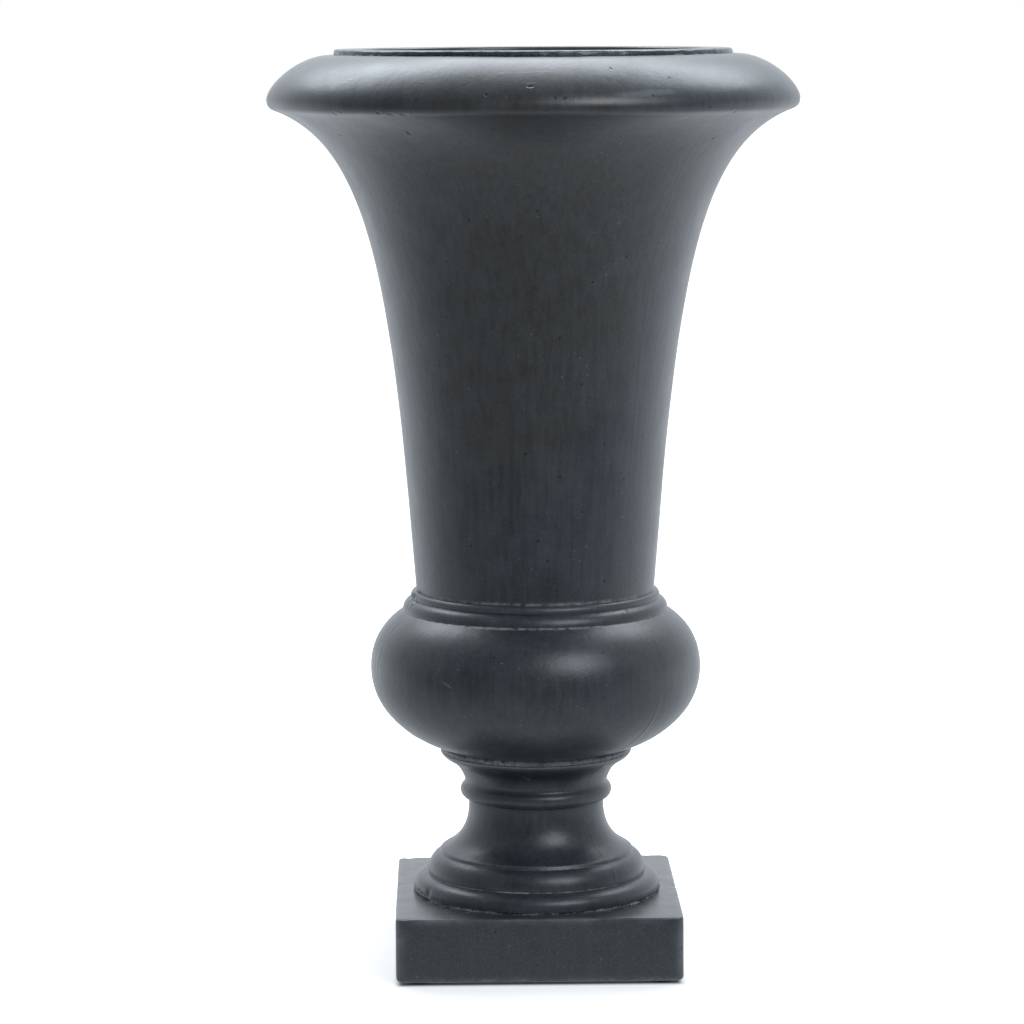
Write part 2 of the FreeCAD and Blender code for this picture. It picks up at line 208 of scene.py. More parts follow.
def gridPiece(name, grid, material, body, nodes, values=None, loop=True, holes=()):
    # mesh of a grid in mm that closes round its columns, and round its rows too where it is a loop
    rows, columns = grid.shape[:2]
    i, j = np.meshgrid(np.arange(rows if loop else rows - 1), np.arange(columns), indexing="ij")
    i2, j2 = (i + 1) % rows, (j + 1) % columns
    corners = [i * columns + j, i * columns + j2, i2 * columns + j2, i2 * columns + j]
    faces = np.stack(corners, axis=-1).reshape(-1, 4)
    mesh = bpy.data.meshes.new(name)
    mesh.vertices.add(rows * columns)
    mesh.vertices.foreach_set("co", (grid.reshape(-1) * 0.001).astype(np.float32))
    mesh.loops.add(faces.size)
    mesh.loops.foreach_set("vertex_index", faces.reshape(-1).astype(np.int32))
    mesh.polygons.add(len(faces))
    mesh.polygons.foreach_set("loop_start", np.arange(0, faces.size, 4, dtype=np.int32))
    mesh.update(calc_edges=True)
    for key, value in (values or {}).items():
        whole = np.broadcast_to(value, (rows, columns)).astype(np.float32)
        mesh.attributes.new(key, "FLOAT", "POINT").data.foreach_set("value", whole.reshape(-1))
    if not loop:
        shell = bmesh.new()
        shell.from_mesh(mesh)
        bmesh.ops.remove_doubles(shell, verts=shell.verts, dist=1e-6)    # the poles
        shell.to_mesh(mesh)
        shell.free()
    piece = bpy.data.objects.new(name, mesh)
    bpy.context.scene.collection.objects.link(piece)
    if holes:
        drill(piece, holes)
    piece.data.polygons.foreach_set("use_smooth", np.ones(len(piece.data.polygons), bool))
    piece.data.materials.clear()
    piece.data.materials.append(material)
    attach(piece, body)
    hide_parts(*nodes)
    print("piece", name, "with", 2 * len(faces), "triangles")

def drill(piece, holes):
    # cuts upright round holes, each (x, y, radius, bottom, top) in mm, out of a piece
    bit = bmesh.new()
    for x, y, radius, bottom, top in holes:
        place = Matrix.Translation((x / 1000, y / 1000, (bottom + top) / 2000))
        bmesh.ops.create_cone(bit, cap_ends=True, segments=40, radius1=radius / 1000, radius2=radius / 1000,
                              depth=(top - bottom) / 1000, matrix=place)
    bitMesh = bpy.data.meshes.new("drillBit")
    bit.to_mesh(bitMesh)
    bit.free()
    bitPiece = bpy.data.objects.new("drillBit", bitMesh)
    bpy.context.scene.collection.objects.link(bitPiece)
    cut = piece.modifiers.new("drill", "BOOLEAN")
    cut.operation, cut.solver, cut.object = "DIFFERENCE", "EXACT", bitPiece
    shaped = bpy.data.meshes.new_from_object(piece.evaluated_get(bpy.context.evaluated_depsgraph_get()))
    piece.modifiers.clear()
    old, piece.data = piece.data, shaped
    bpy.data.meshes.remove(old)
    shaped.name = piece.name
    bpy.data.objects.remove(bitPiece)
    bpy.data.meshes.remove(bitMesh)


# The outlines of the two turned castings, from their undersides out and up, and back down the inside.

urnBody = {
    "profile": ((7, 168), (
        ("line", 34.5, 168), ("line", 34.5, 176), ("line", 71.5, 176),
        ("curve", 138.2, 246, 74, 0, 0.61, 0.473), ("curve", 110.8, 294.2, 0, -57.7, 0.366, 0.505),
        ("swell", 103.8, 304.7, 2.2), ("swell", 99.5, 311.1, 2.2),
        ("curve", 126.7, 560.6, 4.8, 10.9, 0.325, 0.325), ("curve", 209.3, 708.9, 10.9, 66, 0.638, 0.288),
        ("curve", 219.7, 718.5, 69, 0, 0.57, 0.72), ("curve", 168, 755.5, 0, -90, 0.345, 0.67),
        ("line", 149, 755.5), ("line", 146, 752.5), ("line", 146, 690.5), ("line", 113.7, 560.6),
        ("line", 86.5, 311.1), ("line", 74, 214), ("line", 62, 202), ("line", 7, 202), ("line", 7, 168))),
    "reach": 1.2, "softer": ((219.7, 718.5, 9, 8), (103.8, 304.7, 1.5, 2.4)),
    "rowStep": 8.0, "turnStep": 0.19, "columns": 410,
    "seams": (46.0, -74.0, 166.0),        # parting lines of the three-part mould, degrees from the front
    "seamHeight": 0.3, "seamWidth": 1.7, "wave": 0.32,
    # flash left on the necking: azimuth, height, size, rise
    "lumps": ((-79, 309, 8, 1.6), (-74, 304, 5, 0.9)),
    # chalky dust, and painted shade, in the creases: height, azimuth where most, spread in degrees, most
    "chalk": ((311.1, 0, 70, 0.75), (294.2, -20, 45, 0.9), (176, 20, 50, 0.6)),
    "grime": ((304.7, 0, 200, 0.5), (708.9, -30, 200, 0.5)),
    # clouds of thick wax: azimuth, height, size, strength
    "brown": ((0, 665, 85, 1.0), (4, 560, 85, 1.0), (-8, 470, 60, 0.7), (50, 262, 38, 0.8),
              (-70, 240, 45, 0.4), (-140, 600, 90, 0.7), (150, 500, 110, 0.7), (100, 650, 70, 0.6),
              (-12, 715, 60, 0.5))}
pedestalFoot = {
    "profile": ((37.5, 57), (
        ("line", 103.6, 57), ("line", 103.6, 60), ("round", 91.1, 70.7, 103.6, 70.7),
        ("swell", 81.7, 87.8, 3.1), ("line", 80.7, 90.2), ("curve", 56.8, 133.4, -29, 3, 0.082, 0.81),
        ("swell", 59, 147.9, 5.7), ("curve", 80.6, 174.5, 17.5, 22.5, 0.87, 0.4), ("line", 36, 174.5),
        ("line", 37.5, 57))),
    "reach": 1.2, "softer": ((59, 147.9, 6, 11), (80.6, 174.5, 4, 4.5)),
    "rowStep": 2.6, "turnStep": 0.13, "columns": 400,
    "seams": (46.0, -74.0, 166.0), "seamHeight": 0.2, "seamWidth": 1.5, "wave": 0.26,
    "lumps": ((-62, 61, 5, -1.4), (60, 168, 4, -1.0)),
    "chalk": ((70.7, 5, 40, 0.9), (90.2, 18, 22, 0.9)),
    "grime": ((133.4, 0, 200, 1.0), (57, -60, 60, 0.8)),
    "collar": (173.4, 163),               # heights of its upper edge, worn and painted paler as a highlight, and of the hollow below, with painted shade
    "brown": ((-150, 110, 45, 0.7), (120, 90, 40, 0.6), (-30, 112, 24, 0.35))}

def radiusAt(height):
    # radius of the castings' outside at a height: the part of the outline that climbs, away from the rod hole
    joint, holeSide = 175, 50
    line = drawOutline(*(urnBody if height > joint else pedestalFoot)["profile"])
    outer = line[(np.gradient(line[:, 1]) > 0) & (line[:, 0] > holeSide)]
    return np.interp(height, outer[:, 1], outer[:, 0])

# Marks on the castings: azimuth, height, half width, half height in mm, and degrees that the mark leans down
# to the right. Pits are air holes and chips, scuffs are pale rubs and scratches.
marks = {
    "pits": ((-47.5, 711.7, 2.6, 1.7, 0), (-45, 713, 1.8, 1.3, 0), (-35, 712.6, 2.2, 1.5, 0),
             (-32, 711.9, 4.2, 1.5, 4), (-29, 711.6, 4.6, 1.7, -3), (3, 724.4, 1.5, 1.5, 0),
             (5, 724.2, 1.4, 1.4, 0), (16.5, 745.9, 1.5, 1.4, 0), (29.5, 738.4, 1.3, 1.3, 0),
             (46, 711.4, 2.2, 1.6, 0), (51, 689.7, 2.0, 1.7, 0), (-32.5, 696.3, 2.4, 1.6, 10),
             (-58, 693.8, 1.8, 1.5, 0), (-2, 733.2, 3.6, 1.3, 0), (43.5, 303.3, 2.2, 2.0, 0),
             (-73, 60, 3.2, 1.6, 0), (-69, 59, 2.6, 1.4, 0), (-80, 303, 2.6, 2.0, 0),
             (-11, 727, 2.2, 1.5, 20), (100, 712, 4, 1.6, 0), (135, 713, 3, 1.6, 0),
             (-140, 712, 4, 1.7, 0), (178, 300, 2.2, 2, 0), (-120, 712.5, 2.6, 1.5, 0)),
    "scuffs": ((-28, 166.8, 8.0, 0.8, 14), (-9, 162.6, 3.6, 0.8, 40), (-6.5, 160.8, 2.6, 0.8, 20),
               (-46, 736, 9, 0.8, 4), (-45, 738.5, 6, 0.7, -6), (-2, 735.8, 7, 1.2, 0),
               (34, 707.9, 9, 0.8, -12), (37.5, 707.2, 7, 0.8, -10), (31, 709.0, 8, 0.7, -14),
               (41, 706.2, 6, 0.8, -8), (-3, 744, 30, 0.7, -2), (23, 727.5, 32, 3.0, -2),
               (-33, 250, 8, 1.0, 25), (150, 730, 10, 0.9, 3), (-110, 732, 8, 0.8, -5))}

def addMarks(tree, place, noise, group, ragged):
    # 1 inside the nearest mark and 0 outside, by the length of the place from the mark's centre,
    # turned to the mark and divided by its half sizes, with a ragged edge
    nearest, least = None, 6.0                        # mm, least half depth into the wall
    for azimuth, height, halfWidth, halfHeight, lean in group:
        radius, turn = radiusAt(height), np.radians(azimuth)
        local = addNode(tree, "ShaderNodeMapping", {"vector_type": "TEXTURE"}, {
            "Vector": place, "Rotation": (0.0, np.radians(lean), turn),
            "Location": (radius * np.sin(turn) / 1000, -radius * np.cos(turn) / 1000, height / 1000),
            "Scale": (halfWidth / 1000, max(halfWidth, least) / 1000, halfHeight / 1000)})
        length = addNode(tree, "ShaderNodeVectorMath", {"operation": "LENGTH"}, {0: (local, 0)})
        reach = (length, "Value")
        if nearest is None:
            nearest = reach
        else:
            lesser = addNode(tree, "ShaderNodeMath", {"operation": "MINIMUM"}, {0: nearest, 1: reach})
            nearest = (lesser, 0)
    rough = addNode(tree, "ShaderNodeMath", {"operation": "MULTIPLY_ADD"}, {0: noise, 1: ragged, 2: nearest})
    return addNode(tree, "ShaderNodeMapRange", inputs={
        "Value": (rough, 0), "From Min": 1.0 + ragged * 0.5, "From Max": 0.55 + ragged * 0.4})


# Cast fibre cement, coloured charcoal in the mix, rubbed down and waxed: near black with a slate tint, a soft
# broken sheen, brownish clouds where the wax sits thick, fine pinholes, and chalky dust left in the hollows;
# the pinholes, pits and some creases have painted shade.
def waxedCement(name, look):
    material, tree = newMaterial(name)
    place = (addNode(tree, "ShaderNodeTexCoord"), "Object")
    mottle = addNode(tree, "ShaderNodeTexNoise", inputs={
        "Vector": place, "Scale": perMetre(look["mottle"]), "Detail": 6.0, "Roughness": 0.62})
    upright = addNode(tree, "ShaderNodeMapping", inputs={"Vector": place, "Scale": (1.0, 1.0, 0.03)})
    streak = addNode(tree, "ShaderNodeTexNoise", inputs={
        "Vector": (upright, 0), "Scale": perMetre(look["streak"]), "Detail": 3.0, "Roughness": 0.6})
    grain = addNode(tree, "ShaderNodeTexNoise", inputs={
        "Vector": place, "Scale": perMetre(look["grain"]), "Detail": 2.0, "Roughness": 0.7})
    fleck = addNode(tree, "ShaderNodeTexNoise", inputs={
        "Vector": place, "Scale": perMetre(look["fleck"]), "Detail": 4.0, "Roughness": 0.7})
    # colour: clouds written on the mesh, then mottling, rubbing streaks and sand
    cloud = addNode(tree, "ShaderNodeAttribute", {"attribute_name": "cloud"})
    cloudEdge = addNode(tree, "ShaderNodeMath", {"operation": "MULTIPLY_ADD"}, {
        0: (mottle, 0), 1: 0.8, 2: (cloud, "Fac")})
    cloudMask = addNode(tree, "ShaderNodeMapRange", {"interpolation_type": "SMOOTHSTEP"}, {
        "Value": (cloudEdge, 0), "From Min": 0.45, "From Max": 1.05})
    colour = addNode(tree, "ShaderNodeMix", {"data_type": "RGBA"}, {
        "Factor": (cloudMask, 0), 6: linear(look["slate"]), 7: linear(look["brown"])})
    for source, low, high, most, tone in (
            (mottle, 0.35, 0.72, look["mottling"], "pale"), (streak, 0.42, 0.72, look["streaking"], "pale"),
            (streak, 0.5, 0.28, look["streaking"], "dark"), (grain, 0.48, 0.72, look["graining"], "sand")):
        share = addNode(tree, "ShaderNodeMapRange", inputs={
            "Value": (source, 0), "From Min": low, "From Max": high, "To Max": most})
        colour = addNode(tree, "ShaderNodeMix", {"data_type": "RGBA"}, {
            "Factor": (share, 0), 6: (colour, 2), 7: linear(look[tone])})
    # worn paler on the arrises with a painted highlight on the collar's edge, painted shade and chalk in the
    # hollows, all written on the mesh
    wear = addNode(tree, "ShaderNodeAttribute", {"attribute_name": "wear"})
    wearAndHighlightMask = addNode(tree, "ShaderNodeMath", {"operation": "MULTIPLY", "use_clamp": True}, {
        0: (wear, "Fac"), 1: (fleck, 0)})
    wornAndHighlit = addNode(tree, "ShaderNodeMix", {"data_type": "RGBA"}, {
        "Factor": (wearAndHighlightMask, 0), 6: (colour, 2), 7: linear(look["wornAndHighlit"])})
    grime = addNode(tree, "ShaderNodeAttribute", {"attribute_name": "grime"})
    withPaintedShade = addNode(tree, "ShaderNodeMix", {"data_type": "RGBA"}, {
        "Factor": (grime, "Fac"), 6: (wornAndHighlit, 2), 7: linear(look["shadeTone"])})
    chalk = addNode(tree, "ShaderNodeAttribute", {"attribute_name": "chalk"})
    dustMask = addNode(tree, "ShaderNodeMapRange", {"interpolation_type": "SMOOTHSTEP"}, {
        "Value": (fleck, 0), "From Min": 0.36, "From Max": 0.62})
    dust = addNode(tree, "ShaderNodeMath", {"operation": "MULTIPLY", "use_clamp": True}, {
        0: (chalk, "Fac"), 1: (dustMask, 0)})
    dusted = addNode(tree, "ShaderNodeMix", {"data_type": "RGBA"}, {
        "Factor": (dust, 0), 6: (withPaintedShade, 2), 7: linear(look["chalk"])})
    # specks of dust and pinholes: one cell in a few has a round pale or dark spot at its centre
    spots = {}
    for kind in ("speck", "pinhole"):
        size, spacing, share = look[kind], look[kind + "Spacing"], look[kind + "Share"]
        cells = addNode(tree, "ShaderNodeTexVoronoi", {"feature": "F1"}, {
            "Vector": place, "Scale": perMetre(spacing)})
        chosen = addNode(tree, "ShaderNodeSeparateColor", inputs={"Color": (cells, "Color")})
        gathered = addNode(tree, "ShaderNodeMath", {"operation": "MULTIPLY_ADD"}, {
            0: (mottle, 0), 1: look["gathered"], 2: (chosen, 0)})
        spotSize = addNode(tree, "ShaderNodeMapRange", inputs={
            "Value": (gathered, 0), "From Min": 1 - share + look["gathered"] / 2,
            "From Max": 1.0 + look["gathered"] / 2, "To Max": size / spacing / 2})
        spots[kind] = addNode(tree, "ShaderNodeMath", {"operation": "LESS_THAN"}, {
            0: (cells, "Distance"), 1: (spotSize, 0)})
    specked = addNode(tree, "ShaderNodeMix", {"data_type": "RGBA"}, {
        "Factor": (spots["speck"], 0), 6: (dusted, 2), 7: linear(look["speckTone"])})
    holes, finish = spots["pinhole"], specked
    if look["marked"]:
        scuffs = addMarks(tree, place, (fleck, 0), marks["scuffs"], 1.1)
        scuffed = addNode(tree, "ShaderNodeMath", {"operation": "MULTIPLY", "use_clamp": True}, {
            0: (scuffs, 0), 1: look["scuffing"]})
        finish = addNode(tree, "ShaderNodeMix", {"data_type": "RGBA"}, {
            "Factor": (scuffed, 0), 6: (specked, 2), 7: linear(look["speckTone"])})
        pits = addMarks(tree, place, (fleck, 0), marks["pits"], 0.9)
        holes = addNode(tree, "ShaderNodeMath", {"operation": "MAXIMUM"}, {
            0: (spots["pinhole"], 0), 1: (pits, 0)})
    # painted shade: the pits and pinholes are coloured near black for the shade inside them
    holeShaded = addNode(tree, "ShaderNodeMix", {"data_type": "RGBA"}, {
        "Factor": (holes, 0), 6: (finish, 2), 7: linear(look["shadeTone"])})
    # sheen: polished unevenly, dull where dusty
    sheen = addNode(tree, "ShaderNodeMapRange", inputs={
        "Value": (mottle, 0), "From Min": 0.3, "From Max": 0.7,
        "To Min": look["glossy"], "To Max": look["dull"]})
    dulled = addNode(tree, "ShaderNodeMath", {"operation": "MULTIPLY_ADD", "use_clamp": True}, {
        0: (dust, 0), 1: 0.3, 2: (sheen, 0)})
    # relief: wandering hand-rubbed hollows, orange peel, grain and the holes
    peel = addNode(tree, "ShaderNodeTexNoise", inputs={
        "Vector": place, "Scale": perMetre(look["peel"]), "Detail": 2.0, "Roughness": 0.5})
    normal = None
    for source, depth in ((mottle, "rubDepth"), (peel, "peelDepth"), (grain, "grainDepth")):
        normal = (addNode(tree, "ShaderNodeBump", inputs={
            "Height": (source, 0), "Distance": look[depth] / 1000, "Strength": 1.0,
            **({"Normal": normal} if normal else {})}), 0)
    dug = addNode(tree, "ShaderNodeBump", {"invert": True}, {
        "Height": (holes, 0), "Distance": look["holeDepth"] / 1000, "Strength": 1.0, "Normal": normal})
    surface = addNode(tree, "ShaderNodeBsdfPrincipled", inputs={
        "Base Color": (holeShaded, 2), "Roughness": (dulled, 0), "IOR": 1.5, "Normal": (dug, 0),
        "Coat Weight": look["wax"], "Coat Roughness": look["waxRoughness"], "Coat IOR": 1.45,
        "Coat Normal": (dug, 0)})
    addNode(tree, "ShaderNodeOutputMaterial", inputs={"Surface": (surface, 0)})
    return material

# Colours, sizes and depths in mm, and shares from 0 to 1. The plinth is sandier and less streaked, and has no
# placed marks; the mortar is paler and grittier.
# The near black tone is painted shade, for the creases and the insides of pits and pinholes.
cementLook = {
    "slate": "#22292f", "brown": "#302e28", "pale": "#3f464c", "dark": "#191d21", "sand": "#565a5d",
    "wornAndHighlit": "#7b8082", "chalk": "#a2a29c", "shadeTone": "#0b0c0d", "speckTone": "#73797b",
    "mottle": 30, "streak": 4.0, "grain": 1.6, "fleck": 7, "peel": 3.2,
    "mottling": 0.5, "streaking": 0.36, "graining": 0.26,
    "pinhole": 2.2, "pinholeSpacing": 9, "pinholeShare": 0.45,
    "speck": 1.0, "speckSpacing": 5, "speckShare": 0.3, "gathered": 1.6,
    "glossy": 0.32, "dull": 0.46, "wax": 0.9, "waxRoughness": 0.37,
    "marked": True, "scuffing": 0.4, "holeDepth": 0.5, "rubDepth": 0.55, "peelDepth": 0.05, "grainDepth": 0.05}
plinthLook = {**cementLook,
    "slate": "#22282e", "brown": "#27292a", "pale": "#383e43", "mottle": 24, "grain": 1.4, "fleck": 5,
    "streaking": 0.14, "graining": 0.4, "pinholeShare": 0.6,
    "glossy": 0.36, "dull": 0.5, "wax": 1.0, "waxRoughness": 0.26, "marked": False,
    "rubDepth": 0.5, "peelDepth": 0.1, "grainDepth": 0.07}
mortarLook = {**cementLook,
    "slate": "#353b40", "pale": "#50565a", "mottling": 0.7, "graining": 0.6, "wax": 0.6, "marked": False,
    "fleck": 3, "peelDepth": 0.2, "grainDepth": 0.2}

# Bedding mortar, sand and cement squeezed out and left: matte, gritty, dark in its hollows and chalky where it
# stands out.
def beddingMortar(name, dark, pale):
    material, tree = newMaterial(name)
    place = (addNode(tree, "ShaderNodeTexCoord"), "Object")
    grit = addNode(tree, "ShaderNodeTexNoise", inputs={"Vector": place, "Scale": perMetre(1.8), "Detail": 3.0})
    patch = addNode(tree, "ShaderNodeTexNoise", inputs={
        "Vector": place, "Scale": perMetre(26), "Detail": 3.0, "Roughness": 0.6})
    both = addNode(tree, "ShaderNodeMath", {"operation": "MULTIPLY"}, {0: (grit, 0), 1: (patch, 0)})
    share = addNode(tree, "ShaderNodeMapRange", inputs={
        "Value": (both, 0), "From Min": 0.2, "From Max": 0.36})
    colour = addNode(tree, "ShaderNodeMix", {"data_type": "RGBA"}, {
        "Factor": (share, 0), 6: linear(dark), 7: linear(pale)})
    relief = addNode(tree, "ShaderNodeBump", inputs={
        "Height": (grit, 0), "Distance": 0.0005, "Strength": 1.0})
    surface = addNode(tree, "ShaderNodeBsdfPrincipled", inputs={
        "Base Color": (colour, 2), "Roughness": 0.85, "Normal": (relief, 0)})
    addNode(tree, "ShaderNodeOutputMaterial", inputs={"Surface": (surface, 0)})
    return material

# Moulded polypropylene, charcoal, fine spark-eroded texture with a satin sheen, dusty all over, and painted
# shade in a ragged near black line at the foot of the lip.
def linerPlastic():
    material, tree = newMaterial("charcoalPolypropylene")
    place = (addNode(tree, "ShaderNodeTexCoord"), "Object")
    spark = addNode(tree, "ShaderNodeTexNoise", inputs={"Vector": place, "Scale": perMetre(1.6), "Detail": 1.0})
    dusty = addNode(tree, "ShaderNodeTexNoise", inputs={
        "Vector": place, "Scale": perMetre(14), "Detail": 2.0, "Roughness": 0.45})
    dustShare = addNode(tree, "ShaderNodeMapRange", {"interpolation_type": "SMOOTHSTEP"}, {
        "Value": (dusty, 0), "From Min": 0.25, "From Max": 0.75, "To Min": 0.4, "To Max": 0.75})
    colour = addNode(tree, "ShaderNodeMix", {"data_type": "RGBA"}, {
        "Factor": (dustShare, 0), 6: linear("#2a2f33"), 7: linear("#565c60")})
    # painted shade: a ragged near black line at the foot of the lip, where it stands on the rim
    chalk = addNode(tree, "ShaderNodeAttribute", {"attribute_name": "chalk"})
    lipShade = addNode(tree, "ShaderNodeMapRange", {"interpolation_type": "SMOOTHSTEP"}, {
        "Value": (spark, 0), "From Min": 0.35, "From Max": 0.6})
    lipShadeMask = addNode(tree, "ShaderNodeMath", {"operation": "MULTIPLY", "use_clamp": True}, {
        0: (chalk, "Fac"), 1: (lipShade, 0)})
    lipShaded = addNode(tree, "ShaderNodeMix", {"data_type": "RGBA"}, {
        "Factor": (lipShadeMask, 0), 6: (colour, 2), 7: linear("#15171a")})
    sheen = addNode(tree, "ShaderNodeMapRange", inputs={
        "Value": (dusty, 0), "From Min": 0.3, "From Max": 0.7, "To Min": 0.3, "To Max": 0.42})
    relief = addNode(tree, "ShaderNodeBump", inputs={
        "Height": (spark, 0), "Distance": 0.00003, "Strength": 1.0})
    surface = addNode(tree, "ShaderNodeBsdfPrincipled", inputs={
        "Base Color": (lipShaded, 2), "Roughness": (sheen, 0), "IOR": 1.49, "Normal": (relief, 0),
        "Coat Weight": 0.6, "Coat Roughness": 0.2})
    addNode(tree, "ShaderNodeOutputMaterial", inputs={"Surface": (surface, 0)})
    return material

# Moulded black rubber: deep matte black, slightly bloomed.
def blackRubber():
    material, tree = newMaterial("blackRubber")
    place = (addNode(tree, "ShaderNodeTexCoord"), "Object")
    bloom = addNode(tree, "ShaderNodeTexNoise", inputs={"Vector": place, "Scale": perMetre(6), "Detail": 4.0})
    colour = addNode(tree, "ShaderNodeMix", {"data_type": "RGBA"}, {
        "Factor": (bloom, 0), 6: linear("#121213"), 7: linear("#262628")})
    relief = addNode(tree, "ShaderNodeBump", inputs={
        "Height": (bloom, 0), "Distance": 0.0001, "Strength": 1.0})
    surface = addNode(tree, "ShaderNodeBsdfPrincipled", inputs={
        "Base Color": (colour, 2), "Roughness": 0.78, "IOR": 1.52, "Normal": (relief, 0)})
    addNode(tree, "ShaderNodeOutputMaterial", inputs={"Surface": (surface, 0)})
    return material

# Bright zinc plate on rolled steel: pale, slightly bluish metal, softly brushed and spotted with white bloom.
def zincSteel():
    material, tree = newMaterial("zincPlatedSteel")
    place = (addNode(tree, "ShaderNodeTexCoord"), "Object")
    bloom = addNode(tree, "ShaderNodeTexNoise", inputs={
        "Vector": place, "Scale": perMetre(3), "Detail": 5.0, "Roughness": 0.6})
    colour = addNode(tree, "ShaderNodeMix", {"data_type": "RGBA"}, {
        "Factor": (bloom, 0), 6: linear("#b4b8bb"), 7: linear("#d6d8d8")})
    sheen = addNode(tree, "ShaderNodeMapRange", inputs={
        "Value": (bloom, 0), "From Min": 0.3, "From Max": 0.7, "To Min": 0.28, "To Max": 0.46})
    surface = addNode(tree, "ShaderNodeBsdfPrincipled", inputs={
        "Base Color": (colour, 2), "Metallic": 1.0, "Roughness": (sheen, 0)})
    addNode(tree, "ShaderNodeOutputMaterial", inputs={"Surface": (surface, 0)})
    return material

cement = waxedCement("waxedFibreCement", cementLook)
plainCement = waxedCement("rubbedFibreCement", plinthLook)
mortar = beddingMortar("beddingMortar", "#1a1d20", "#858583")
waxedMortar = waxedCement("waxedMortar", mortarLook)      # struck off with a rag and waxed with the urn
plastic, rubber, zinc = linerPlastic(), blackRubber(), zincSteel()
print("finishes made")


def castPiece(name, piece, isFace, nodes, seed, holes=()):
    # a turned casting: its outline softened, turned, and given its relief on the faces that show
    rows, turning = softenOutline(drawOutline(*piece["profile"]), piece, lambda line: ~isFace(line))
    angles = anglesRound(piece["columns"], piece["seams"])
    grid = turnedGrid(rows, angles)
    radius, height = rows[:, 0, None], rows[:, 1, None]
    face = np.clip(np.convolve(isFace(rows), np.ones(3) / 3, "same"), 0, 1)[:, None]
    relief = moulded(grid, angles, rows[:, 0], piece, seed)
    for azimuth, level, size, rise in piece["lumps"]:
        row = np.argmin(np.where(face[:, 0] > 0.5, np.abs(rows[:, 1] - level), 1e9))
        centre = grid[row, np.argmin(np.abs(turnFrom(angles, azimuth)))]
        away = np.linalg.norm(grid - centre, axis=-1)
        relief += rise * bump(away * (1 + 0.4 * lumps(grid, 4, seed + 5)), size * 0.6)
    cloud = 0.45 * lumps(grid, 110, seed + 6)
    for azimuth, level, size, strength in piece["brown"]:
        along = turnFrom(angles, azimuth) * radius
        cloud += strength * bump(np.hypot(along, (height - level) * 0.8), size)
    # worn where the outline turns outwards by more than 0.05, and most by 0.45 radians per mm
    wear = 0.35 * np.clip((turning - 0.05) / 0.4, 0, 1)[:, None]
    # painted shade: near black in the listed creases, where the outline turns inwards
    grime = inCreases(rows, turning, angles, piece["grime"])
    if "collar" in piece:
        edge, hollow = piece["collar"]
        # painted highlight along the collar's upper edge, and painted shade in the hollow below it
        wear = wear + 0.8 * bump(height - edge, 1.8)
        grime = grime + 0.6 * bump(height - hollow, 5)
    chalk = inCreases(rows, turning, angles, piece["chalk"])
    gridPiece(name, raised(grid, relief * face), cement, "urn", nodes, {
        "cloud": cloud, "wear": wear * face, "chalk": chalk * face, "grime": grime * face}, holes=holes)

def bodyFace(line):
    # the outside: above the underside, and neither the liner's seat in the mouth nor the cavity's wall
    radius, height = line.T
    inMouth = (radius < 149) & (height > 690)
    cavityWall = 86.5 + (height - 311) * 0.109            # mm, leaning out up the bell
    return (height > 177) & ~inMouth & ~((height < 691) & (radius < cavityWall + 2))

def footFace(line):
    # the outside, without the spigot's bore and the two bedded ends
    radius, height = line.T
    return (radius > 52) & (height > 57.6) & (height < 174)

castPiece("urnBody", urnBody, bodyFace, ["urn_body"], 3, holes=[(26, 0, 6.5, 150, 230)])
castPiece("pedestalFoot", pedestalFoot, footFace, ["pedestal_foot"], 11)


plinth = {
    "profile": ((115, 2.5), (
        ("round", 118, 5.5, 118, 2.5), ("line", 118, 54), ("round", 116.5, 55.5, 118, 55.5),
        ("line", 7, 55.5), ("line", 7, 33.5), ("line", 92, 33.5), ("round", 98, 27.5, 98, 33.5),
        ("line", 98, 2.5), ("line", 115, 2.5))),
    "reach": 0.5, "rowStep": 2.6, "turnStep": 0.25, "sideColumns": 100, "cornerColumns": 16,
    "side": 118, "top": 55.5, "bottom": 2.5, "hollow": 99,     # all the hollow lies within this half width
    "ring": 104.5}                        # radius of the mortar's edge on the top

def squareOutline(half, corner, sideCount, cornerCount):
    # rounded square: (half - corner) * A + corner * B, where A is a point of the unit square
    # and B is the unit vector square to the side, or turning round the corner; half and corner are per row
    t = np.linspace(-1, 1, sideCount, endpoint=False)
    turn = np.linspace(0, np.pi / 2, cornerCount, endpoint=False)
    a = np.vstack([np.stack([np.ones(sideCount), t], 1), np.ones((cornerCount, 2))])
    b = np.vstack([np.tile((1.0, 0.0), (sideCount, 1)), np.stack([np.cos(turn), np.sin(turn)], 1)])
    points = (half - corner)[:, None, None] * a + corner[:, None, None] * b
    quarter = np.array(((0, 1), (-1, 0)))                 # a quarter turn on row vectors
    return np.concatenate([points @ np.linalg.matrix_power(quarter, k) for k in range(4)], axis=1)

rows, _ = softenOutline(drawOutline(*plinth["profile"]), plinth, lambda line: line[:, 0] < 97)
half, level = rows.T
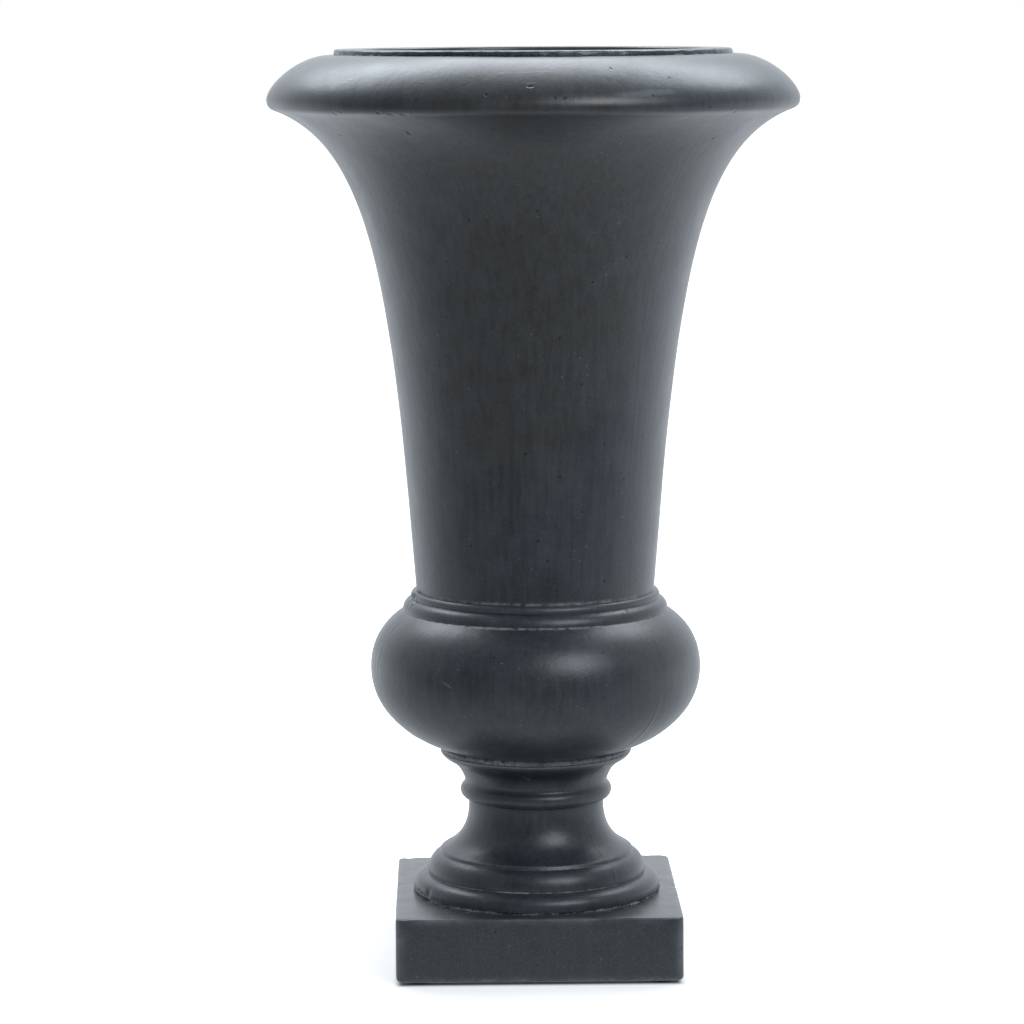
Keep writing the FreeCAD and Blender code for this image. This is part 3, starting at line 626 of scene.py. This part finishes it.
# corner radius by row: the outer round, growing into the rod's round hole, then the hollow's own corner
inner = (half < plinth["hollow"]) & (level < 54)
corner = np.where(inner, np.interp(half, (7, 98), (7, 25)), np.interp(half, (7, 115.5, 118), (7, 5.5, 8)))
flat = squareOutline(half, corner, plinth["sideColumns"], plinth["cornerColumns"])
grid = np.concatenate([flat, np.broadcast_to(level[:, None, None], (*flat.shape[:2], 1))], axis=-1)
face = ((half > plinth["hollow"]) & (level > 3.5)).astype(float)[:, None]
x, y, z = np.abs(grid[..., 0]), np.abs(grid[..., 1]), grid[..., 2]
fromSide = np.maximum(plinth["side"] - np.maximum(x, y), 0)
fromTopEdge = np.hypot(fromSide, np.maximum(plinth["top"] - z, 0))
fromCorner = np.hypot(plinth["side"] - x, plinth["side"] - y)
fromFoot = np.hypot(fromSide, np.maximum(z - plinth["bottom"], 0))
edges = np.maximum.reduce([bump(fromTopEdge, 3.2), bump(fromCorner, 6), 0.8 * bump(fromFoot, 3.5)])
# relief: slight waves, less the wear along the arrises and the chips knocked out of them
chips = np.clip(lumps(grid, 12, 23) - 0.3, 0, 1) * 1.6 + np.clip(lumps(grid, 5, 24) - 0.3, 0, 1) * 1.0
relief = 0.2 * lumps(grid, 60, 21) + 0.12 * lumps(grid, 14, 22) - edges * (0.15 + chips)
onTop = level[:, None] > 54
dustAtRing = 0.5 * bump(np.hypot(x, y) - plinth["ring"], 1.8) * onTop
dustAtFoot = 0.9 * bump(fromFoot, 2.0) * np.clip(0.4 + lumps(grid, 14, 26), 0, 1)
gridPiece("plinthBlock", raised(grid, relief * face), plainCement, "urn", ["plinth"], {
    "cloud": 0.6 * lumps(grid, 80, 25), "grime": 0.0, "chalk": face * dustAtFoot + dustAtRing,
    "wear": face * edges * np.clip(0.55 + 0.7 * lumps(grid, 18, 27), 0, 1.2)},
    holes=[(26, 0, 6, 20, 70), (-26, 0, 6, 20, 70)])


def mortarBed(name, node, material, profile, ragged, seed, dusty=False):
    # a ring whose outer edge wanders inwards by lumps of two sizes, over its last few mm
    piece = {"reach": 0.4, "rowStep": 4.0, "turnStep": 0.4, "columns": 440, "loose": 5}
    rows, _ = softenOutline(drawOutline(*profile), piece, lambda line: line[:, 0] < 60)
    grid = turnedGrid(rows, anglesRound(piece["columns"]))
    radius, height = rows[:, 0, None], rows[:, 1, None]
    edge = radius.max()
    inward = ragged * (np.clip(0.5 + lumps(grid * (1, 1, 0), 8, seed), 0, 1)
                       + 0.7 * np.clip(lumps(grid * (1, 1, 0), 3, seed + 1), 0, 1))
    share = np.clip((radius - edge + piece["loose"]) / piece["loose"], 0, 1)
    grid[..., :2] *= 1 - (inward * share)[..., None] / edge
    values = {}
    if dusty:
        patches = 0.6 * np.clip(lumps(grid, 22, seed + 2), 0, 1)
        values["chalk"] = 0.3 + patches + 0.4 * bump(height - height.max(), 1.0)
    gridPiece(name, grid, material, "urn", [node], values)

mortarBed("plinthBed", "plinth_joint_bed", mortar, ((38.7, 55.5), (
    ("line", 104.8, 55.5), ("line", 103.4, 57.0), ("line", 38.7, 57.0), ("line", 38.7, 55.5))), 1.2, 31)
mortarBed("footBed", "foot_joint_bed", waxedMortar, ((37.2, 174.5), (
    ("line", 80.3, 174.5), ("line", 80.6, 177.4), ("line", 79.6, 178.6), ("line", 71.0, 176.0),
    ("line", 37.2, 176.0), ("line", 37.2, 174.5))), 0.5, 33, dusty=True)


liner = {
    "profile": ((5, 510.5), (
        ("line", 88, 510.5), ("line", 96, 518.5), ("line", 143.2, 700), ("line", 143.2, 757.5),
        ("line", 161.5, 757.5), ("line", 161.5, 755.5), ("line", 164, 755.5), ("line", 164, 758),
        ("round", 162, 760, 164, 760), ("line", 142.7, 760), ("round", 140.7, 758, 140.7, 760),
        ("line", 140.7, 700), ("line", 93.5, 519.75), ("line", 86.75, 513), ("line", 5, 513),
        ("line", 5, 510.5))),
    "reach": 0.7, "rowStep": 6.0, "turnStep": 0.3, "columns": 440,
    "lipInside": 162.5, "lipFoot": 755.5, "holeCircle": 60.0, "hole": 5.0, "holes": 6}

rows, _ = softenOutline(drawOutline(*liner["profile"]), liner, lambda line: line[:, 1] < 690)
grid = turnedGrid(rows, anglesRound(liner["columns"]))
lip = ((rows[:, 0] > liner["lipInside"]) & (rows[:, 1] > liner["lipFoot"] + 0.1)).astype(float)[:, None]
relief = 0.3 * lumps(grid, 9, 41) + 0.4 * lumps(grid, 4, 42) - 0.25
# painted shade at the foot of the lip, where it stands on the urn's rim
lipShade = lip * bump(rows[:, 1, None] - liner["lipFoot"], 2.8)
turns = np.arange(liner["holes"]) * 2 * np.pi / liner["holes"]
holes = [(liner["holeCircle"] * np.cos(turn), liner["holeCircle"] * np.sin(turn), liner["hole"], 500, 516)
         for turn in turns]
gridPiece("plantingLiner", raised(grid, relief * lip), plastic, "liner", ["planting_liner"],
          {"chalk": lipShade}, holes=holes)


rod = {"radius": 6.0, "pitch": 1.75, "depth": 0.95, "bottom": 16.7, "top": 221.8, "columns": 28, "perTurn": 8}

count = int((rod["top"] - rod["bottom"]) / rod["pitch"] * rod["perTurn"])
heights = np.linspace(rod["bottom"], rod["top"], count)[:, None]
angles = anglesRound(rod["columns"])
# the radius falls and rises as a triangle wave once per pitch, with its crests and roots cut flat,
# and the wave climbs one pitch per turn
phase = (heights / rod["pitch"] - angles / (2 * np.pi)) % 1
radius = rod["radius"] - rod["depth"] * np.clip(1.35 * (1 - np.abs(2 * phase - 1)) - 0.12, 0, 1)
chamfer = np.minimum(heights - rod["bottom"], rod["top"] - heights)
radius = np.minimum(radius, rod["radius"] - 1.0 + chamfer)
side = np.stack([radius * np.cos(angles), radius * np.sin(angles), heights + 0 * angles], axis=-1)
ends = [np.broadcast_to((0.0, 0.0, z), (1, rod["columns"], 3)) for z in (rod["bottom"], rod["top"])]
gridPiece("threadedRod", np.concatenate([ends[0], side, ends[1]]), zinc, "urn", ["tie_rod"],
          loop=False)


# the small hardware and rubber pieces show as they are, and get their finish
carriedOver = {
    rubber: ("front_left_pad", "front_right_pad", "back_left_pad", "back_right_pad", "seal_washer",
             "drain_bung"),
    zinc: ("upper_nut", "lower_nut", "upper_washer", "lower_washer")}
for material, names in carriedOver.items():
    for name in names:
        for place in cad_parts[name].material_slots:
            place.material = material
print("small pieces finished")


# The floor and the walls are white to the camera. Reflections see middle + backward * y + rightward * x of
# each, limited: bright behind, a little brighter at the right, and dimmer in the room in front.
studio = {
    "paper": "#e4e5e6", "tint": "#eff7ff", "diffuse": 0.44, "glowNear": 0.55, "dimmest": 0.12,
    "wall": {"middle": 0.43, "backward": 0.55, "rightward": 0.02},
    "floor": {"middle": 0.64, "backward": 0.45, "rightward": 0.06}}

def mirroredLight(tree, place, shares):
    backward = addNode(tree, "ShaderNodeMath", {"operation": "MULTIPLY_ADD"}, {
        0: (place, 1), 1: shares["backward"], 2: shares["middle"]})
    slanted = addNode(tree, "ShaderNodeMath", {"operation": "MULTIPLY_ADD"}, {
        0: (place, 0), 1: shares["rightward"], 2: (backward, 0)})
    return addNode(tree, "ShaderNodeClamp", inputs={
        "Value": (slanted, 0), "Min": studio["dimmest"], "Max": 1.0})

# Matte paper: the camera sees it white, and dark in the gap under the plinth.
floorMaterial, tree = newMaterial("paleStudioFloor")
ray = addNode(tree, "ShaderNodeLightPath")
spot = addNode(tree, "ShaderNodeSeparateXYZ", inputs={0: (addNode(tree, "ShaderNodeTexCoord"), "Object")})
sideways = addNode(tree, "ShaderNodeMath", {"operation": "ABSOLUTE"}, {0: (spot, 0)})
inward = addNode(tree, "ShaderNodeMath", {"operation": "ABSOLUTE"}, {0: (spot, 1)})
away = addNode(tree, "ShaderNodeMath", {"operation": "MAXIMUM"}, {0: (sideways, 0), 1: (inward, 0)})
near = addNode(tree, "ShaderNodeMapRange", {"interpolation_type": "SMOOTHSTEP"}, {
    "Value": (away, 0), "From Min": 0.112, "From Max": 0.122, "To Max": studio["glowNear"]})
far = addNode(tree, "ShaderNodeMapRange", {"interpolation_type": "SMOOTHSTEP"}, {
    "Value": (away, 0), "From Min": 0.11, "From Max": 0.4, "To Max": 1 - studio["glowNear"]})
glow = addNode(tree, "ShaderNodeMath", {"operation": "ADD"}, {0: (near, 0), 1: (far, 0)})
shown = addNode(tree, "ShaderNodeMath", {"operation": "MULTIPLY"}, {0: (glow, 0), 1: (ray, "Is Camera Ray")})
paper = addNode(tree, "ShaderNodeBsdfPrincipled", inputs={
    "Base Color": linear(studio["paper"]), "Roughness": 0.9, "Specular IOR Level": 0.0,
    "Emission Color": (1, 1, 1, 1), "Emission Strength": (shown, 0)})
mirrored = addNode(tree, "ShaderNodeEmission", inputs={
    "Color": linear(studio["tint"]), "Strength": (mirroredLight(tree, spot, studio["floor"]), 0)})
whole = addNode(tree, "ShaderNodeMixShader", inputs={
    0: (ray, "Is Glossy Ray"), 1: (paper, 0), 2: (mirrored, 0)})
addNode(tree, "ShaderNodeOutputMaterial", inputs={"Surface": (whole, 0)})
floorMesh = bpy.data.meshes.new("studioFloor")
floorMesh.from_pydata([(-30, -30, 0), (30, -30, 0), (30, 30, 0), (-30, 30, 0)], [], [(0, 1, 2, 3)])
floor = bpy.data.objects.new("studioFloor", floorMesh)
floorMesh.materials.append(floorMaterial)
bpy.context.scene.collection.objects.link(floor)

world = bpy.data.worlds.new("studio")
world.use_nodes = True
tree = world.node_tree
tree.nodes.clear()
ray = addNode(tree, "ShaderNodeLightPath")
direction = addNode(tree, "ShaderNodeSeparateXYZ", inputs={
    0: (addNode(tree, "ShaderNodeTexCoord"), "Generated")})
walls = mirroredLight(tree, direction, studio["wall"])
mirrored = addNode(tree, "ShaderNodeMath", {"operation": "MAXIMUM"}, {
    0: (ray, "Is Glossy Ray"), 1: (ray, "Is Transmission Ray")})
unseen = addNode(tree, "ShaderNodeMix", {"data_type": "FLOAT"}, {
    "Factor": (mirrored, 0), 2: studio["diffuse"], 3: (walls, 0)})
strength = addNode(tree, "ShaderNodeMix", {"data_type": "FLOAT"}, {
    "Factor": (ray, "Is Camera Ray"), 2: (unseen, 0), 3: 1.0})
hue = addNode(tree, "ShaderNodeMix", {"data_type": "RGBA"}, {
    "Factor": (ray, "Is Camera Ray"), 6: linear(studio["tint"]), 7: (1, 1, 1, 1)})
sky = addNode(tree, "ShaderNodeBackground", inputs={"Color": (hue, 2), "Strength": (strength, 0)})
addNode(tree, "ShaderNodeOutputWorld", inputs={"Surface": (sky, 0)})
bpy.context.scene.world = world

# softboxes by direction from the urn's middle: azimuth from the camera's side, positive to the right
middle = Vector((0, 0, 0.45))
softboxes = {
    "highBackLeft": {"azimuth": -135, "elevation": 49, "distance": 2.3, "size": (1.15, 1.15), "watts": 14},
    "highBackRight": {"azimuth": 128, "elevation": 52, "distance": 2.3, "size": (1.15, 1.15), "watts": 14},
    "highBack": {"azimuth": 180, "elevation": 61, "distance": 2.4, "size": (1.7, 1.9), "watts": 22},
    "frontRight": {"azimuth": 30, "elevation": 30, "distance": 2.1, "size": (1.25, 1.1), "watts": 14}}
for name, box in softboxes.items():
    light = bpy.data.lights.new(name, "AREA")
    light.shape, light.size, light.size_y = "ELLIPSE", *box["size"]
    light.energy, light.color = box["watts"], linear(studio["tint"])[:3]
    lamp = bpy.data.objects.new(name, light)
    turn, tilt = np.radians((box["azimuth"], box["elevation"]))
    away = Vector((np.sin(turn) * np.cos(tilt), -np.cos(turn) * np.cos(tilt), np.sin(tilt)))
    lamp.matrix_world = (Matrix.Translation(middle + away * box["distance"])
                         @ (-away).to_track_quat("-Z", "Y").to_matrix().to_4x4())
    bpy.context.scene.collection.objects.link(lamp)

view = {"at": (-0.0736, -3.181, 0.7948), "yaw": 0.98, "pitch": 7.51, "roll": 0.286, "lens": 135.0}
yaw, pitch, roll = np.radians([view[k] for k in ("yaw", "pitch", "roll")])
forward = np.array((np.sin(yaw) * np.cos(pitch), np.cos(yaw) * np.cos(pitch), -np.sin(pitch)))
level = np.array((np.cos(yaw), -np.sin(yaw), 0.0))
upright = np.cross(level, forward)
right = np.cos(roll) * level - np.sin(roll) * upright
above = np.sin(roll) * level + np.cos(roll) * upright
lens = bpy.data.cameras.new("camera")
lens.lens, lens.sensor_width, lens.clip_end = view["lens"], 36.0, 100.0
camera = bpy.data.objects.new("camera", lens)
turn = Matrix(np.stack([right, above, -forward], axis=1).tolist())
camera.matrix_world = Matrix.Translation(view["at"]) @ turn.to_4x4()
bpy.context.scene.collection.objects.link(camera)
bpy.context.scene.camera = camera
bpy.context.scene.view_settings.view_transform = "Standard"
print("stage, lights and camera set")
